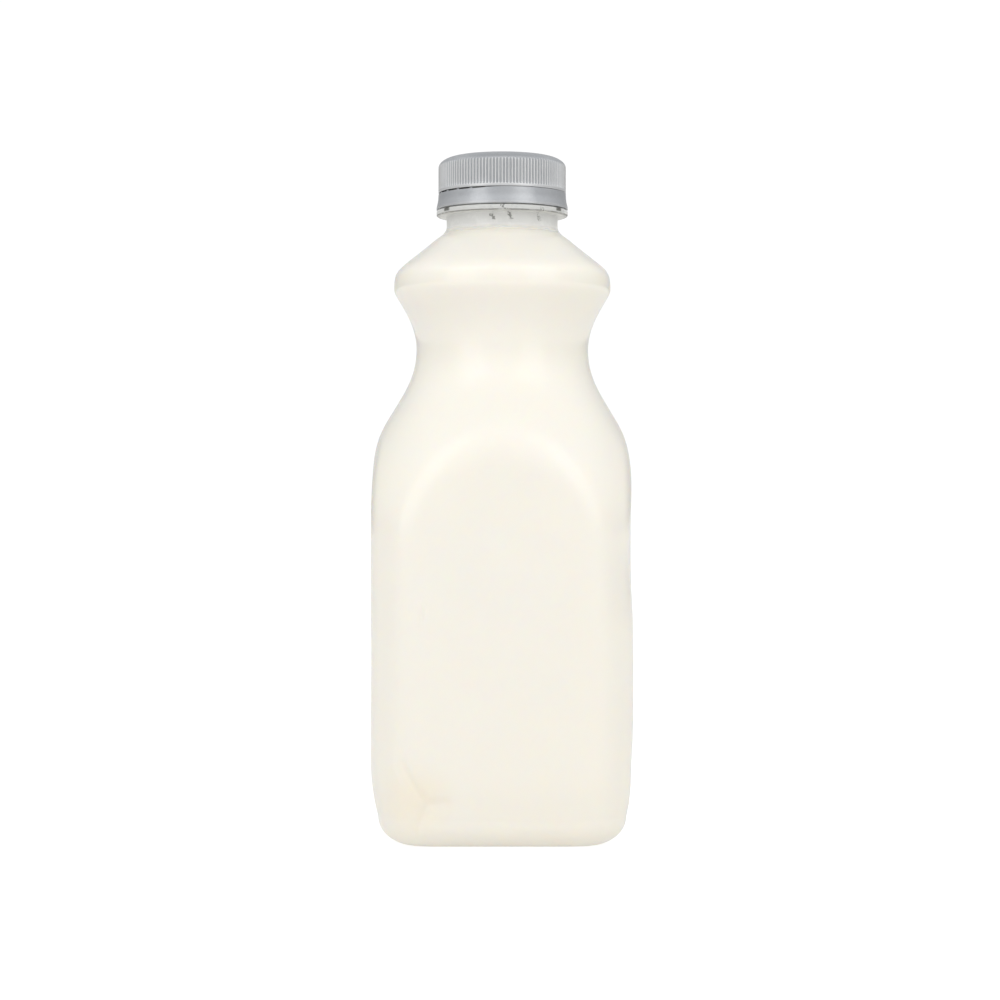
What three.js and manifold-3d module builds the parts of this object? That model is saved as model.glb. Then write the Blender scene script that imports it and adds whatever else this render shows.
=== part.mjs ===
// A one-litre-class milk bottle with a screw cap, in millimetres, +Z up.
// The origin is the middle of the standing ring, on the surface that the bottle stands on.
//
// The bottle is one clear moulding: a round body cut by four flat faces, a waist, a collar and a
// threaded neck finish. A ribbed cap with a sealing disc screws on it, a tear band stays on the
// neck below the cap, and the milk stands up to the foot of the neck.

import * as THREE from 'three';
import { mergeVertices } from 'three/addons/utils/BufferGeometryUtils.js';
import Module from 'manifold-3d';

// Body of the bottle
const FACE_HALF_WIDTH = 41.75; // axis to each of the four flat faces
const CORNER_REACH = 9.65; // how far the round body stands out past the flat faces at the corners
const BODY_HEIGHT = 127; // floor to the top of the arched faces
const ARCH_HEIGHT = 30; // of the round-over at the top of the corners
const HEEL_HEIGHT = 9; // of the rounded bottom edge
const HEEL_SPREAD = 12.2; // how far the bottom edge rounds inwards
const HEEL_TAPER = 2.3; // how far the faces lean in above the heel
const TAPER_HEIGHT = 13; // of the leaning part of the faces
const PUSH_UP_RADIUS = 21; // of the hollow under the base
const PUSH_UP_HEIGHT = 4;
const WALL = 0.8;

// Shoulder, waist and collar
const SHOULDER_SLOPE = 0.547; // radius gained per height, on the cone above the faces
const SHOULDER_HEIGHT = 30.9; // top of the faces to the waist
const WAIST_RADIUS = 28.1;
const COLLAR_RADIUS = 35.3;
const COLLAR_HEIGHT = 19.1; // waist to the widest point of the collar
const COLLAR_TOP_HEIGHT = 16.6; // widest point to the crease at the root of the neck
const ROOT_STEP = 3.4; // radius gained from the neck to the crease
const ROOT_HEIGHT = 4.1; // crease to the straight neck

// Neck finish
const NECK_RADIUS = 18.1; // straight neck below the support ring
const NECK_LENGTH = 3.0; // straight neck, root to support ring
const NECK_WALL = 1.5;
const RING_STAND = 3.3; // how far the support ring stands out of the neck
const RING_THICKNESS = 2.3;
const RING_EDGE = 0.6; // bevel of the ring's edge
const FINISH_HEIGHT = 14.1; // top of the support ring to the rim
const FINISH_WALL = 1.85; // between the bore and the thread root
const FINISH_STEP = 0.5; // thread root radius under the neck radius
const BEAD_HEIGHT = 1.5; // bead that holds the tear band down
const BEAD_LIFT = 3.4; // top of the support ring to the bead
const BEAD_STAND = 1.5; // how far the bead stands out of the thread root

// Thread, shared by bottle and cap
const THREAD_STARTS = 3;
const THREAD_LEAD = 9.5; // rise in one turn
const THREAD_STAND = 1.05; // crest of the bottle's thread over its root
const THREAD_SWEEP = 135; // degrees of turn of each start
const THREAD_DROP = 1.6; // rim to the crown of each start at its upper end
const THREAD_RUN_OUT = 14; // degrees over which a thread sinks into its wall
const THREAD_CLEARANCE = 0.3; // between the two threads' flanks
const THREAD_OVERLAP = 0.35; // radial bite of the cap's thread on the bottle's

// Cap
const CAP_CLEARANCE = 0.7; // between the bottle's thread crest and the cap's inner wall
const CAP_WALL = 1.05; // inner wall to the valley of the ribs
const RIB_COUNT = 120;
const RIB_DEPTH = 0.35;
const RIB_TOP_GAP = 0.2; // plain strip between the ribs and the rounded edge
const CAP_LIP = 0.6; // plain strip under the ribs
const CAP_CROWN = 1.8; // thickness of the top
const CROWN_ROUND = 3.3; // radius of the rounded top edge

// Sealing disc
const LINER_THICKNESS = 1.2;
const LINER_GAP = 0.2; // to the rim below and the crown above
const LINER_SIDE_GAP = 0.35; // to the cap's inner wall

// Tear band
const BAND_FLOOR_GAP = 0.3; // over the support ring
const SLIT = 0.5; // torn slit between band and cap
const BAND_ABOVE_BEAD = 0.4; // top of the band over the top of the bead
const BAND_SIDE_GAP = 0.5; // to the bead, all round
const BAND_FLARE = 0.65; // how far the lower edge stands out
const BAND_FLARE_HEIGHT = 2.8;
const BRIDGE_COUNT = 24;
const BRIDGE_WIDTH = 1.0;
const BRIDGE_HEIGHT = 0.35; // what is left of each bridge, shorter than the slit
const BRIDGE_DEPTH = 0.6;
const BRIDGE_START = 1; // degrees from the front to the nearest bridge
const FLAP_COUNT = 12;
const FLAP_SLOT = 1.6; // gap between neighbouring flaps
const FLAP_REACH = 0.75; // how far the flaps reach in under the bead
const FLAP_THICKNESS = 0.45;
const FLAP_GAP = 0.4; // flap tips to the underside of the bead

// Milk
const FILL_ABOVE_ROOT = 0.2; // level over the root of the straight neck
const MILK_GAP = 0.4; // to the inside of the bottle

// Fineness of the surfaces
const TURN_STEPS = 40;
const CURVE_STEPS = 4;
const CROWN_STEPS = 3;
const THREAD_STEPS = 18;
const THREAD_SIDES = 4;

// Heights worked out from the sizes above
const TAPER_TOP = HEEL_HEIGHT + TAPER_HEIGHT;
const ARCH_BASE = BODY_HEIGHT - ARCH_HEIGHT;
const WAIST_Z = BODY_HEIGHT + SHOULDER_HEIGHT;
const COLLAR_Z = WAIST_Z + COLLAR_HEIGHT;
const CREASE_Z = COLLAR_Z + COLLAR_TOP_HEIGHT;
const ROOT_Z = CREASE_Z + ROOT_HEIGHT;
const RING_Z = ROOT_Z + NECK_LENGTH;
const RING_TOP = RING_Z + RING_THICKNESS;
const BEAD_Z = RING_TOP + BEAD_LIFT;
const RIM_Z = RING_TOP + FINISH_HEIGHT;
const THREAD_SECTION = (0.253 * THREAD_LEAD) / THREAD_STARTS; // radius of the rounded section
const THREAD_TOP = RIM_Z - THREAD_DROP - THREAD_SECTION;
const BAND_Z = RING_TOP + BAND_FLOOR_GAP;
const BAND_TOP = BEAD_Z + BEAD_HEIGHT + BAND_ABOVE_BEAD;
const SKIRT_Z = BAND_TOP + SLIT;
const CEILING_Z = RIM_Z + LINER_THICKNESS + 2 * LINER_GAP;
const CAP_TOP = CEILING_Z + CAP_CROWN;
const RIB_Z = SKIRT_Z + CAP_LIP;
const CROWN_Z = CAP_TOP - CROWN_ROUND;
const RIB_TOP = CROWN_Z - RIB_TOP_GAP;

// Radii worked out from the sizes above
const CORNER_RADIUS = FACE_HALF_WIDTH + CORNER_REACH;
const RING_RADIUS = NECK_RADIUS + RING_STAND;
const ROOT_RADIUS = NECK_RADIUS - FINISH_STEP;
const BORE_RADIUS = ROOT_RADIUS - FINISH_WALL;
const BEAD_RADIUS = ROOT_RADIUS + BEAD_STAND;
const CREST_RADIUS = ROOT_RADIUS + THREAD_STAND;
const CAP_BORE = CREST_RADIUS + CAP_CLEARANCE;
const VALLEY_RADIUS = CAP_BORE + CAP_WALL;
const CAP_RADIUS = VALLEY_RADIUS + RIB_DEPTH;
const BAND_BORE = BEAD_RADIUS + BAND_SIDE_GAP;

// Colours
const SILVER = 0xb9bcc2;
const CLEAR = 0xeceae2;
const CREAM = 0xf8f3e6;
const FOAM = 0xf2f2f0;

const wasm = await Module();
wasm.setup();

const radians = THREE.MathUtils.degToRad;

// Turns a closed geometry into a solid that can be joined and cut.
function solidOf(geometry) {
  const bare = geometry.clone();
  bare.deleteAttribute('normal');
  bare.deleteAttribute('uv');
  const merged = mergeVertices(bare, 1e-4);
  const mesh = new wasm.Mesh({
    numProp: 3,
    vertProperties: new Float32Array(merged.attributes.position.array),
    triVerts: new Uint32Array(merged.index.array),
  });
  return new wasm.Manifold(mesh);
}

// Turns a solid back into a named mesh of the scene.
function meshOf(name, solid, surface) {
  const { vertProperties, triVerts } = solid.getMesh();
  const geometry = new THREE.BufferGeometry();
  geometry.setAttribute('position', new THREE.BufferAttribute(new Float32Array(vertProperties), 3));
  geometry.setIndex(new THREE.BufferAttribute(new Uint32Array(triVerts), 1));
  geometry.computeVertexNormals();
  const mesh = new THREE.Mesh(geometry, new THREE.MeshStandardMaterial(surface));
  mesh.name = name;
  return mesh;
}

// Revolves an outline of (radius, height) points about the Z axis.
function revolved(points) {
  const geometry = new THREE.LatheGeometry(points, TURN_STEPS);
  geometry.rotateX(Math.PI / 2);
  return solidOf(geometry);
}

// A flat shape thickened upwards from height z.
function raised(shape, z, thickness) {
  const geometry = new THREE.ExtrudeGeometry(shape, {
    depth: thickness,
    bevelEnabled: false,
    curveSegments: TURN_STEPS / 2,
  });
  geometry.translate(0, 0, z);
  return solidOf(geometry);
}

// Centre line of one thread start: a right-hand helix that sinks to sunkRadius at both ends.
class ThreadLine extends THREE.Curve {
  constructor(radius, sunkRadius, startAngle, sweep, startZ) {
    super();
    Object.assign(this, { radius, sunkRadius, startAngle, sweep, startZ });
  }

  getPoint(t, target = new THREE.Vector3()) {
    const fromEnd = Math.min(t, 1 - t) * this.sweep;
    const sunk = 1 - THREE.MathUtils.smoothstep(fromEnd, 0, THREAD_RUN_OUT);
    const radius = THREE.MathUtils.lerp(this.radius, this.sunkRadius, sunk);
    const angle = radians(this.startAngle + t * this.sweep);
    const z = this.startZ + (THREAD_LEAD * t * this.sweep) / 360;
    return target.set(radius * Math.cos(angle), radius * Math.sin(angle), z);
  }
}

// All the starts of a thread, as solid cords of round section along their centre lines.
function threads(radius, sunkRadius, firstAngle, sweep, startZ) {
  const section = new THREE.Shape();
  section.absarc(0, 0, THREAD_SECTION, 0, 2 * Math.PI);
  const cords = [];
  for (let start = 0; start < THREAD_STARTS; start += 1) {
    const angle = firstAngle + (360 * start) / THREAD_STARTS;
    const line = new ThreadLine(radius, sunkRadius, angle, sweep, startZ);
    const geometry = new THREE.ExtrudeGeometry(section, {
      extrudePath: line,
      steps: THREAD_STEPS,
      curveSegments: THREAD_SIDES,
    });
    cords.push(solidOf(geometry));
  }
  return cords.reduce((all, cord) => all.add(cord));
}

// Outline of the round body from the axis up to the straight neck, drawn inset from the outside.
function bodyOutline(inset, neckInset) {
  const corner = CORNER_RADIUS - inset;
  const heelRadius = corner - HEEL_TAPER;
  const face = FACE_HALF_WIDTH - inset;
  const waist = WAIST_RADIUS - inset;
  const collar = COLLAR_RADIUS - inset;
  const crease = NECK_RADIUS + ROOT_STEP - inset;
  const neck = NECK_RADIUS - neckInset;
  const coneLength = SHOULDER_HEIGHT * 0.48;
  const archLength = ARCH_HEIGHT / 3;
  const path = new THREE.Path();
  path.moveTo(0, inset);
  path.lineTo(heelRadius - HEEL_SPREAD, inset);
  path.absellipse(heelRadius - HEEL_SPREAD, HEEL_HEIGHT, HEEL_SPREAD, HEEL_HEIGHT - inset,
    -Math.PI / 2, 0, false, 0);
  path.lineTo(corner, TAPER_TOP);
  path.lineTo(corner, ARCH_BASE);
  path.bezierCurveTo(corner, ARCH_BASE + archLength,
    face + SHOULDER_SLOPE * archLength, BODY_HEIGHT - archLength, face, BODY_HEIGHT);
  path.bezierCurveTo(face - SHOULDER_SLOPE * coneLength, BODY_HEIGHT + coneLength,
    waist, WAIST_Z - SHOULDER_HEIGHT * 0.36, waist, WAIST_Z);
  path.bezierCurveTo(waist, WAIST_Z + COLLAR_HEIGHT * 0.5,
    collar, COLLAR_Z - COLLAR_HEIGHT * 0.12, collar, COLLAR_Z);
  path.bezierCurveTo(collar, COLLAR_Z + COLLAR_TOP_HEIGHT * 0.45,
    crease + (collar - crease) * 0.96, CREASE_Z - COLLAR_TOP_HEIGHT * 0.67,
    crease, CREASE_Z);
  path.bezierCurveTo(crease - ROOT_STEP * 0.26, CREASE_Z + ROOT_HEIGHT * 0.15,
    neck, ROOT_Z - ROOT_HEIGHT * 0.5, neck, ROOT_Z);
  return path;
}

// Outline of one flat face, from the base up past its arch, drawn inset from the outside.
function faceOutline(inset) {
  const face = FACE_HALF_WIDTH - inset;
  const heel = face - HEEL_TAPER;
  const foot = heel - HEEL_SPREAD;
  const shape = new THREE.Shape();
  shape.moveTo(-foot, inset);
  shape.lineTo(foot, inset);
  shape.absellipse(foot, HEEL_HEIGHT, HEEL_SPREAD, HEEL_HEIGHT - inset, -Math.PI / 2, 0, false, 0);
  shape.lineTo(face, TAPER_TOP);
  shape.lineTo(face, RIM_Z);
  shape.lineTo(-face, RIM_Z);
  shape.lineTo(-face, TAPER_TOP);
  shape.absellipse(-foot, HEEL_HEIGHT, HEEL_SPREAD, HEEL_HEIGHT - inset,
    Math.PI, 1.5 * Math.PI, false, 0);
  return shape;
}

// The square block that gives the body its four flat faces, one outline drawn through each way.
function squareBlock(inset) {
  const depth = 2 * (CORNER_RADIUS + WALL);
  const geometry = new THREE.ExtrudeGeometry(faceOutline(inset), {
    depth,
    bevelEnabled: false,
    curveSegments: CURVE_STEPS,
  });
  geometry.translate(0, 0, -depth / 2);
  geometry.rotateX(Math.PI / 2);
  const through = solidOf(geometry);
  geometry.rotateZ(Math.PI / 2);
  return through.intersect(solidOf(geometry));
}

// The hollow under the base, as a shallow dome with a margin all round.
function pushUp(margin) {
  const dome = new THREE.Path();
  dome.moveTo(0, -WALL);
  dome.lineTo(PUSH_UP_RADIUS + margin, -WALL);
  dome.lineTo(PUSH_UP_RADIUS + margin, 0);
  dome.quadraticCurveTo(PUSH_UP_RADIUS * 0.7, PUSH_UP_HEIGHT + margin, 0, PUSH_UP_HEIGHT + margin);
  return revolved(dome.getPoints(CURVE_STEPS));
}

// A revolved body outline closed at the given height, cut square and domed at the base.
function bodySolid(path, inset, domeMargin) {
  const round = revolved(path.getPoints(CURVE_STEPS));
  return round.intersect(squareBlock(inset)).subtract(pushUp(domeMargin));
}

// Neck finish: support ring, bead and plain wall up to the rim, continuing the body outline.
function addFinish(path) {
  path.lineTo(NECK_RADIUS, RING_Z);
  path.lineTo(RING_RADIUS - RING_EDGE, RING_Z);
  path.lineTo(RING_RADIUS, RING_Z + RING_EDGE);
  path.lineTo(RING_RADIUS, RING_TOP - RING_EDGE);
  path.lineTo(RING_RADIUS - RING_EDGE, RING_TOP);
  path.lineTo(ROOT_RADIUS, RING_TOP);
  path.lineTo(ROOT_RADIUS, BEAD_Z);
  path.lineTo(BEAD_RADIUS, BEAD_Z);
  path.lineTo(BEAD_RADIUS, BEAD_Z + BEAD_HEIGHT * 0.4);
  path.lineTo(ROOT_RADIUS, BEAD_Z + BEAD_HEIGHT);
  path.lineTo(ROOT_RADIUS, RIM_Z);
  path.lineTo(0, RIM_Z);
}

// The bottle's thread runs on the thread root, a little under the rim.
function bottleThread() {
  const radius = CREST_RADIUS - THREAD_SECTION;
  const sunk = ROOT_RADIUS - THREAD_SECTION - WALL / 4;
  const startZ = THREAD_TOP - (THREAD_LEAD * THREAD_SWEEP) / 360;
  return threads(radius, sunk, 0, THREAD_SWEEP, startZ);
}

function bottle() {
  const outline = bodyOutline(0, 0);
  addFinish(outline);
  const outside = bodySolid(outline, 0, 0).add(bottleThread());

  const hollow = bodyOutline(WALL, NECK_WALL);
  hollow.lineTo(NECK_RADIUS - NECK_WALL, RING_Z);
  hollow.lineTo(BORE_RADIUS, RING_TOP);
  hollow.lineTo(BORE_RADIUS, RIM_Z + WALL);
  hollow.lineTo(0, RIM_Z + WALL);
  const inside = revolved(hollow.getPoints(CURVE_STEPS))
    .intersect(squareBlock(WALL).add(boreRoom()))
    .subtract(pushUp(WALL));
  return outside.subtract(inside);
}

// Room above the square block, so that the bore is cut right through the rim.
function boreRoom() {
  const disc = new THREE.Shape();
  disc.absarc(0, 0, COLLAR_RADIUS, 0, 2 * Math.PI);
  return raised(disc, RING_Z, RIM_Z + 2 * WALL - RING_Z);
}

function milk() {
  const inset = WALL + MILK_GAP;
  const level = ROOT_Z + FILL_ABOVE_ROOT;
  const outline = bodyOutline(inset, NECK_WALL + MILK_GAP);
  outline.lineTo(NECK_RADIUS - NECK_WALL - MILK_GAP, level);
  outline.lineTo(0, level);
  return bodySolid(outline, inset, inset);
}

// A disc with a saw-tooth rim, one tooth for each grip rib.
function ribbedDisc() {
  const shape = new THREE.Shape();
  for (let tooth = 0; tooth < RIB_COUNT; tooth += 1) {
    const crest = (2 * Math.PI * tooth) / RIB_COUNT;
    const valley = crest + Math.PI / RIB_COUNT;
    const crestPoint = [CAP_RADIUS * Math.cos(crest), CAP_RADIUS * Math.sin(crest)];
    if (tooth === 0) shape.moveTo(...crestPoint);
    else shape.lineTo(...crestPoint);
    shape.lineTo(VALLEY_RADIUS * Math.cos(valley), VALLEY_RADIUS * Math.sin(valley));
  }
  return shape;
}

// How far below the bottle's thread the cap's thread rides, for the clearance between flanks.
function threadOffset() {
  const radial = 2 * THREAD_SECTION - THREAD_OVERLAP;
  const between = 2 * THREAD_SECTION + THREAD_CLEARANCE;
  return Math.sqrt(between ** 2 - radial ** 2);
}

// Outside of the cap: a plain lip, a slimmer core that the ribs stand on, and the rounded crown.
function capSkin() {
  const core = CAP_BORE + CAP_WALL / 2;
  const skin = new THREE.Path();
  skin.moveTo(0, SKIRT_Z);
  skin.lineTo(CAP_RADIUS, SKIRT_Z);
  skin.lineTo(CAP_RADIUS, RIB_Z);
  skin.lineTo(core, RIB_Z);
  skin.lineTo(core, RIB_TOP);
  skin.lineTo(CAP_RADIUS, RIB_TOP);
  skin.lineTo(CAP_RADIUS, CROWN_Z);
  skin.absarc(CAP_RADIUS - CROWN_ROUND, CROWN_Z, CROWN_ROUND, 0, Math.PI / 2, false);
  skin.lineTo(0, CAP_TOP);
  return revolved(skin.getPoints(CROWN_STEPS)).add(raised(ribbedDisc(), RIB_Z, RIB_TOP - RIB_Z));
}

function screwCap() {
  const hollow = new THREE.Path();
  hollow.moveTo(0, SKIRT_Z - WALL);
  hollow.lineTo(CAP_BORE, SKIRT_Z - WALL);
  hollow.lineTo(CAP_BORE, CEILING_Z);
  hollow.lineTo(0, CEILING_Z);
  const skin = capSkin();
  const thread = capThread().intersect(skin);
  return skin.subtract(revolved(hollow.getPoints(1))).add(thread);
}

// The cap's thread bites under the bottle's thread and follows the same helix.
function capThread() {
  const radius = CREST_RADIUS - THREAD_OVERLAP + THREAD_SECTION;
  const sunk = CAP_BORE + THREAD_SECTION + CAP_WALL / 6;
  const endsShort = THREAD_RUN_OUT / 2;
  const startZ = THREAD_TOP - (THREAD_LEAD * (THREAD_SWEEP - endsShort)) / 360 - threadOffset();
  return threads(radius, sunk, endsShort, THREAD_SWEEP - 2 * endsShort, startZ);
}

function capLiner() {
  const disc = new THREE.Shape();
  disc.absarc(0, 0, CAP_BORE - LINER_SIDE_GAP, 0, 2 * Math.PI);
  return raised(disc, RIM_Z + LINER_GAP, LINER_THICKNESS);
}

// Radial slots that part the band's folded lip into separate flaps.
function flapSlots() {
  const flapTop = BEAD_Z - FLAP_GAP;
  const reach = BAND_BORE - ROOT_RADIUS;
  const slots = [];
  for (let slot = 0; slot < FLAP_COUNT; slot += 1) {
    const box = new THREE.BoxGeometry(reach, FLAP_SLOT, flapTop - BAND_Z);
    box.translate(BAND_BORE - reach / 2, 0, (flapTop + BAND_Z) / 2 + FLAP_THICKNESS);
    box.rotateZ((2 * Math.PI * slot) / FLAP_COUNT);
    slots.push(solidOf(box));
  }
  return slots.reduce((all, slot) => all.add(slot));
}

// Stubs of the bridges that joined the band to the cap.
function bridges() {
  const stubs = [];
  for (let bridge = 0; bridge < BRIDGE_COUNT; bridge += 1) {
    const box = new THREE.BoxGeometry(BRIDGE_DEPTH, BRIDGE_WIDTH, 2 * BRIDGE_HEIGHT);
    box.translate(CAP_RADIUS - BRIDGE_DEPTH / 2 - RIB_DEPTH / 2, 0, BAND_TOP);
    box.rotateZ(radians(BRIDGE_START - 90 + (360 * bridge) / BRIDGE_COUNT));
    stubs.push(solidOf(box));
  }
  return stubs.reduce((all, stub) => all.add(stub));
}

function tamperBand() {
  const flapRadius = BEAD_RADIUS - FLAP_REACH;
  const flapTop = BEAD_Z - FLAP_GAP;
  const ring = new THREE.Path();
  ring.moveTo(BAND_BORE, BAND_TOP);
  ring.lineTo(BAND_BORE, BAND_Z + 2 * FLAP_THICKNESS);
  ring.lineTo(flapRadius + FLAP_THICKNESS, flapTop);
  ring.lineTo(flapRadius, flapTop);
  ring.lineTo(BAND_BORE - FLAP_THICKNESS, BAND_Z);
  ring.lineTo(CAP_RADIUS + BAND_FLARE, BAND_Z);
  ring.lineTo(CAP_RADIUS + BAND_FLARE, BAND_Z + BAND_FLARE_HEIGHT * 0.25);
  ring.lineTo(CAP_RADIUS + BAND_FLARE * 0.2, BAND_Z + BAND_FLARE_HEIGHT);
  ring.lineTo(CAP_RADIUS, BAND_TOP);
  ring.lineTo(BAND_BORE, BAND_TOP);
  return revolved(ring.getPoints(1)).subtract(flapSlots()).add(bridges());
}

const clearPlastic = { color: CLEAR, roughness: 0.08, metalness: 0, transparent: true, opacity: 0.4 };
const cream = { color: CREAM, roughness: 0.35, metalness: 0 };
const satinSilver = { color: SILVER, roughness: 0.4, metalness: 0.35 };
const glossSilver = { color: SILVER, roughness: 0.3, metalness: 0.35 };
const foam = { color: FOAM, roughness: 0.8, metalness: 0 };

const milkBottle = new THREE.Group();
milkBottle.add(
  meshOf('bottle', bottle(), clearPlastic),
  meshOf('milk', milk(), cream),
  meshOf('screw_cap', screwCap(), satinSilver),
  meshOf('cap_liner', capLiner(), foam),
  meshOf('tamper_band', tamperBand(), glossSilver),
);

export default milkBottle;
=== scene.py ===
import bpy
import numpy as np
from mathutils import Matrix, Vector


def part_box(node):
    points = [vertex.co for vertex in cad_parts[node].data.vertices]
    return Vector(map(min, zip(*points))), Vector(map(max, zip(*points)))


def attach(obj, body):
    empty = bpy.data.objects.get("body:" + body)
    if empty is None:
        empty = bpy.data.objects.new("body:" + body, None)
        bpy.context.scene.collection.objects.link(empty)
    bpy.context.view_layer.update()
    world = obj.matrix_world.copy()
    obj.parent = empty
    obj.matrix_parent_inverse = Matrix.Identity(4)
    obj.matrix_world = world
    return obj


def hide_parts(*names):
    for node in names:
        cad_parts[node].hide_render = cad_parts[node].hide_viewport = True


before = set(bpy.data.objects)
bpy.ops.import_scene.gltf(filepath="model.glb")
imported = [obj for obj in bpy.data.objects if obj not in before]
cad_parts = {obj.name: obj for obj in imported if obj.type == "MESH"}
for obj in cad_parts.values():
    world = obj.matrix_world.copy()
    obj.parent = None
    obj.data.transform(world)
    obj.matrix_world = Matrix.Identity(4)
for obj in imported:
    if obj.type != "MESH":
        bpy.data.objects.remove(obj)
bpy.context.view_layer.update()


# ---------------------------------------------------------------- Bottle
# One clear blow-moulded plastic bottle: a round body cut by four flat arched faces, a waist and a
# collar, and above them the neck finish with its support ring, bead and three-start thread.
# The wall is very thin on the body and thickens up the shoulder of the neck.

MM = 0.001
CORNER_REACH = 9.65 * MM  # the round body past the flat faces, at the four corners
BODY_HEIGHT = 127 * MM
ARCH_HEIGHT = 30 * MM
HEEL_HEIGHT = 9 * MM
HEEL_SPREAD = 10.8 * MM
HEEL_TAPER = 2.3 * MM
TAPER_TOP = 26 * MM
PUSH_UP_RADIUS = 21 * MM
PUSH_UP_HEIGHT = 4 * MM
GATE_RADIUS = 1.6 * MM  # moulding point in the middle of the base
GATE_HEIGHT = 0.7 * MM
SHOULDER_SLOPE = 0.547
WAIST_Z = 157.9 * MM
WAIST_RADIUS = 28.1 * MM
COLLAR_Z = 177 * MM
COLLAR_RADIUS = 35.3 * MM
CREASE_Z = 193.6 * MM
CREASE_RADIUS = 21.5 * MM
ROOT_Z = 197.7 * MM
NECK_RADIUS = 18.1 * MM
RING_Z = 201.15 * MM
RING_TOP = 203 * MM
RING_RADIUS = 21.4 * MM
FINISH_RADIUS = 17.6 * MM  # plain wall that the thread stands on
BEAD_Z = 206.4 * MM
BEAD_TOP = 207.9 * MM
BEAD_RADIUS = 19.1 * MM
BORE_RADIUS = 15.75 * MM
NECK_WALL = 1.5 * MM
BODY_WALL = 0.5 * MM
WALL_SWELL = (184 * MM, 196.5 * MM)  # heights between which the wall thickens to the neck's
EDGE_SOFTNESS = 4.2 * MM  # rounding of the ridge between a flat face and the round body
BOTTLE_COLUMNS = 284
CORNER_EDGES = [quarter + side for quarter in (-135, -45, 45, 135) for side in (-9.3, 9.3)]

THREAD_STARTS = 3
THREAD_LEAD = 9.5 * MM
THREAD_SWEEP = 135  # degrees
THREAD_RUN_OUT = 14
THREAD_SECTION = 0.80 * MM
THREAD_CREST = 18.65 * MM
THREAD_TOP = 214.7 * MM

# Soft dents: angle and width in degrees, then in mm the height, the fall below and above it, and
# the depth.
DENTS = ((-35, 17, 90, 15, 24, 1.4), (-28, 20, 23, 9, 9, 0.8))
# A pinched crease on the front face: where its arms meet, across and up in mm, and the end, width
# and depth of each arm and of the dish that they lie in.
PINCH = (-25, 14.6)
PINCH_ARMS = (((-33, 27), 1.8, 0.58), ((-18.5, 15.2), 1.6, 0.58), ((-29.5, 6.5), 1.9, 0.55))
PINCH_DISH = ((-27, 16), 7, 0.6)
PINCH_EDGES = [-121, -119]  # degrees

# Mould flash on the neck and ring: angle and width in degrees, height of the ridge in mm.
FLASH = ((-81, 1.3, -0.42), (-100.5, 1.2, -0.4), (-45, 0.9, -0.3), (90, 1, 0.12))
# Dark marks beside it: angle and width in degrees, lowest and highest point in mm. They wander
# from side to side and lean with height.
DARK_MARKS = (
    (-99.5, 1.4, 198.2, 200.4),
    (-82.0, 1.9, 198.4, 201.1),
    (-84.0, 1.1, 201.1, 203.4),
    (-49.5, 0.9, 198.0, 202.6),
)
MARK_WANDER = 13  # degrees
MARK_LEAN = 1.6  # degrees per mm
MARK_Z = 199.5 * MM
SHADOW_BLOTS = (-146.8, -31.6)  # degrees; painted shadow under the band's flared foot
SHADOW_BLOT_WIDTH = 5.0
SHADE_LINE_HALF_HEIGHT = 0.26 * MM  # half the height of the painted shade line round the ring's lower edge, where its underside is in shadow
CLOUDY_FROM = 195.0 * MM  # heights between which the plastic turns cloudy
CLOUDY_TO = 197.2 * MM

bottle_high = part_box("bottle")[1]
FACE_HALF_WIDTH = bottle_high.x
RIM_Z = bottle_high.z


def curve(start, first, second, end, steps=40):
    """Points (radius, height) of a cubic curve: the four given points weighted by (1-t)^3,
    3t(1-t)^2, 3t^2(1-t) and t^3, for t from 0 up to 1, the start left out."""
    t = np.linspace(0, 1, steps + 1)[1:, None]
    weights = np.hstack([(1 - t) ** 3, 3 * t * (1 - t) ** 2, 3 * t**2 * (1 - t), t**3])
    return weights @ np.array([start, first, second, end])


def softened(corners, rounding, steps=4):
    """A line through (radius, height) corners with each inner corner rounded: the point before it
    and the point after it, both at distance rounding, weighted by (1-t)^2 and t^2, and the corner
    itself by 2t(1-t), for t from 0 to 1."""
    corners = np.array(corners, float)
    rounding = np.broadcast_to(rounding, len(corners) - 2)[:, None, None]
    steps_in = np.diff(corners, axis=0)
    ways = steps_in / np.linalg.norm(steps_in, axis=1, keepdims=True)
    middle = corners[1:-1, None]
    before = middle - ways[:-1, None] * rounding
    after = middle + ways[1:, None] * rounding
    t = np.linspace(0, 1, steps + 1)[None, :, None]
    arcs = (1 - t) ** 2 * before + 2 * t * (1 - t) * middle + t**2 * after
    return np.vstack([corners[:1], arcs.reshape(-1, 2), corners[-1:]])


def eased(value):
    """3v^2 - 2v^3 of the value held between 0 and 1."""
    held = np.clip(value, 0, 1)
    return held * held * (3 - 2 * held)


def soft_least(first, second, softness):
    """The smaller of two lengths, less softness / 4 * (1 - |difference| / softness)^2 where they
    differ by less than softness, so that one surface runs into the other in a round ridge."""
    near = np.maximum(softness - np.abs(first - second), 0) / softness
    return np.minimum(first, second) - near * near * softness / 4


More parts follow.
